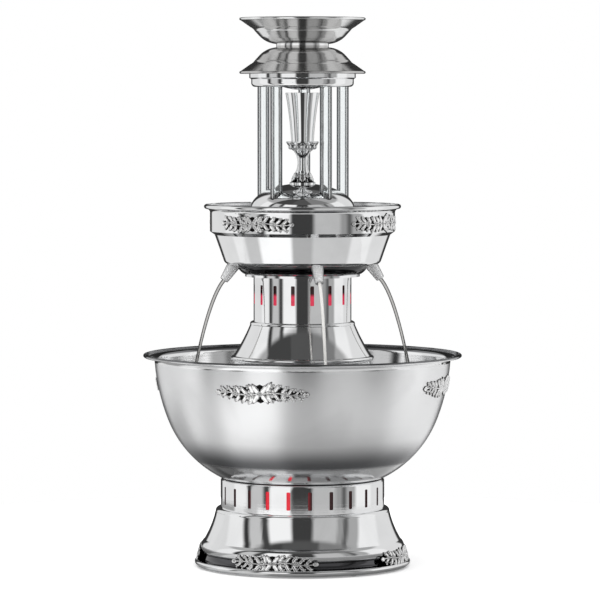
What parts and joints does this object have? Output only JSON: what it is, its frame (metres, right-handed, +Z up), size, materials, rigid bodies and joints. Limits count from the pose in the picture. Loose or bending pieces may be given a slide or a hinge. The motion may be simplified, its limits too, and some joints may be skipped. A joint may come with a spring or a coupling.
{
  "type": "champagne fountain",
  "caption": "Polished steel drink fountain: a lit base with pump, a wide bowl, a lit column, a tier with spouts, and a crown and dish on clear tubes.",
  "frame": {"origin": "on the table under the fountain's middle", "axes": "+Z up along the fountain's axis, -Y towards the front, +X to the right as seen from the front"},
  "size_m": [0.4199, 0.42, 0.7228],
  "materials": {
    "polished_steel": "mirror polished",
    "satin_steel": "satin",
    "plain_steel": "mill finish",
    "chromed_casting": "chromed with darkened hollows",
    "red_lens": "translucent",
    "clear_tubing": "clear acrylic",
    "frosted_spout": "frosted acrylic",
    "lamp_glass": "clear",
    "soft_rubber": "matte",
    "black_plastic": "fine grain",
    "white_plastic": "moulded",
    "motor_paint": "semi gloss",
    "motor_iron": "varnished laminations"
  },
  "bodies": {
    "base": {"base_skirt": "polished_steel", "base_floor": "plain_steel", "floor_screws": "plain_steel", "rubber_feet": "soft_rubber", "base_drum": "polished_steel", "base_liner": "red_lens", "deck": "plain_steel", "deck_posts": "plain_steel", "bowl_seat": "soft_rubber", "motor_plate": "plain_steel", "motor_can": "motor_paint", "motor_bearings": "plain_steel", "motor_stator": "motor_iron", "base_lamps": "lamp_glass", "power_supply": "motor_paint", "rear_panel": "black_plastic", "power_inlet": "black_plastic", "base_ornaments": "chromed_casting"},
    "rotor": {"motor_shaft": "plain_steel", "rotor_core": "motor_iron", "cooling_fan": "black_plastic", "drive_magnet": "motor_iron"},
    "pump_switch": {"pump_rocker": "black_plastic"},
    "lamp_switch": {"lamp_rocker": "black_plastic"},
    "bowl": {"main_bowl": "satin_steel", "bowl_ornaments": "chromed_casting", "pump_base": "white_plastic", "pump_cover": "white_plastic", "pump_riser": "plain_steel", "pedestal": "satin_steel"},
    "pump_wheel": {"impeller": "white_plastic"},
    "column": {"column_bell": "polished_steel", "column_drum": "polished_steel", "column_liner": "red_lens", "lamp_ring": "black_plastic", "ring_lamps": "lamp_glass", "column_riser": "plain_steel"},
    "tier": {"tier_pan": "polished_steel", "tier_collar": "polished_steel", "spout_front": "frosted_spout", "spout_right": "frosted_spout", "spout_back": "frosted_spout", "spout_left": "frosted_spout", "spout_nuts": "polished_steel", "tier_ornaments": "chromed_casting", "hub_fitting": "white_plastic", "hub_nut": "polished_steel", "manifold": "white_plastic", "dome": "polished_steel", "vase_foot": "chromed_casting", "vase_trumpet": "polished_steel"},
    "crown": {"clear_tube_1": "clear_tubing", "clear_tube_2": "clear_tubing", "clear_tube_3": "clear_tubing", "clear_tube_4": "clear_tubing", "clear_tube_5": "clear_tubing", "crown_ring": "polished_steel", "crown_cap": "polished_steel"},
    "dish": {"top_dish": "polished_steel", "dish_peg": "polished_steel"}
  },
  "joints": [
    {"name": "bowl_lift", "type": "slide", "parent": "base", "child": "bowl", "axis": [0, 0, 1], "range_m": [0, 0.06]},
    {"name": "column_lift", "type": "slide", "parent": "bowl", "child": "column", "axis": [0, 0, 1], "range_m": [0, 0.06]},
    {"name": "tier_lift", "type": "slide", "parent": "column", "child": "tier", "axis": [0, 0, 1], "range_m": [0, 0.06]},
    {"name": "crown_lift", "type": "slide", "parent": "tier", "child": "crown", "axis": [0, 0, 1], "range_m": [0, 0.06]},
    {"name": "dish_lift", "type": "slide", "parent": "crown", "child": "dish", "axis": [0, 0, 1], "range_m": [0, 0.03]},
    {"name": "motor_spin", "type": "hinge", "parent": "base", "child": "rotor", "pos_m": [0, 0, 0.07], "axis": [0, 0, 1], "continuous": true},
    {"name": "impeller_spin", "type": "hinge", "parent": "bowl", "child": "pump_wheel", "pos_m": [0, 0, 0.12], "axis": [0, 0, 1], "continuous": true},
    {"name": "pump_switch_tilt", "type": "hinge", "parent": "base", "child": "pump_switch", "pos_m": [0.015, 0.1289, 0.055], "axis": [1, 0, 0], "range_deg": [0, 24]},
    {"name": "lamp_switch_tilt", "type": "hinge", "parent": "base", "child": "lamp_switch", "pos_m": [0.033, 0.1289, 0.055], "axis": [1, 0, 0], "range_deg": [0, 24]}
  ],
  "couplings": [
    {"joint": "impeller_spin", "follows": "motor_spin", "ratio": 1}
  ]
}
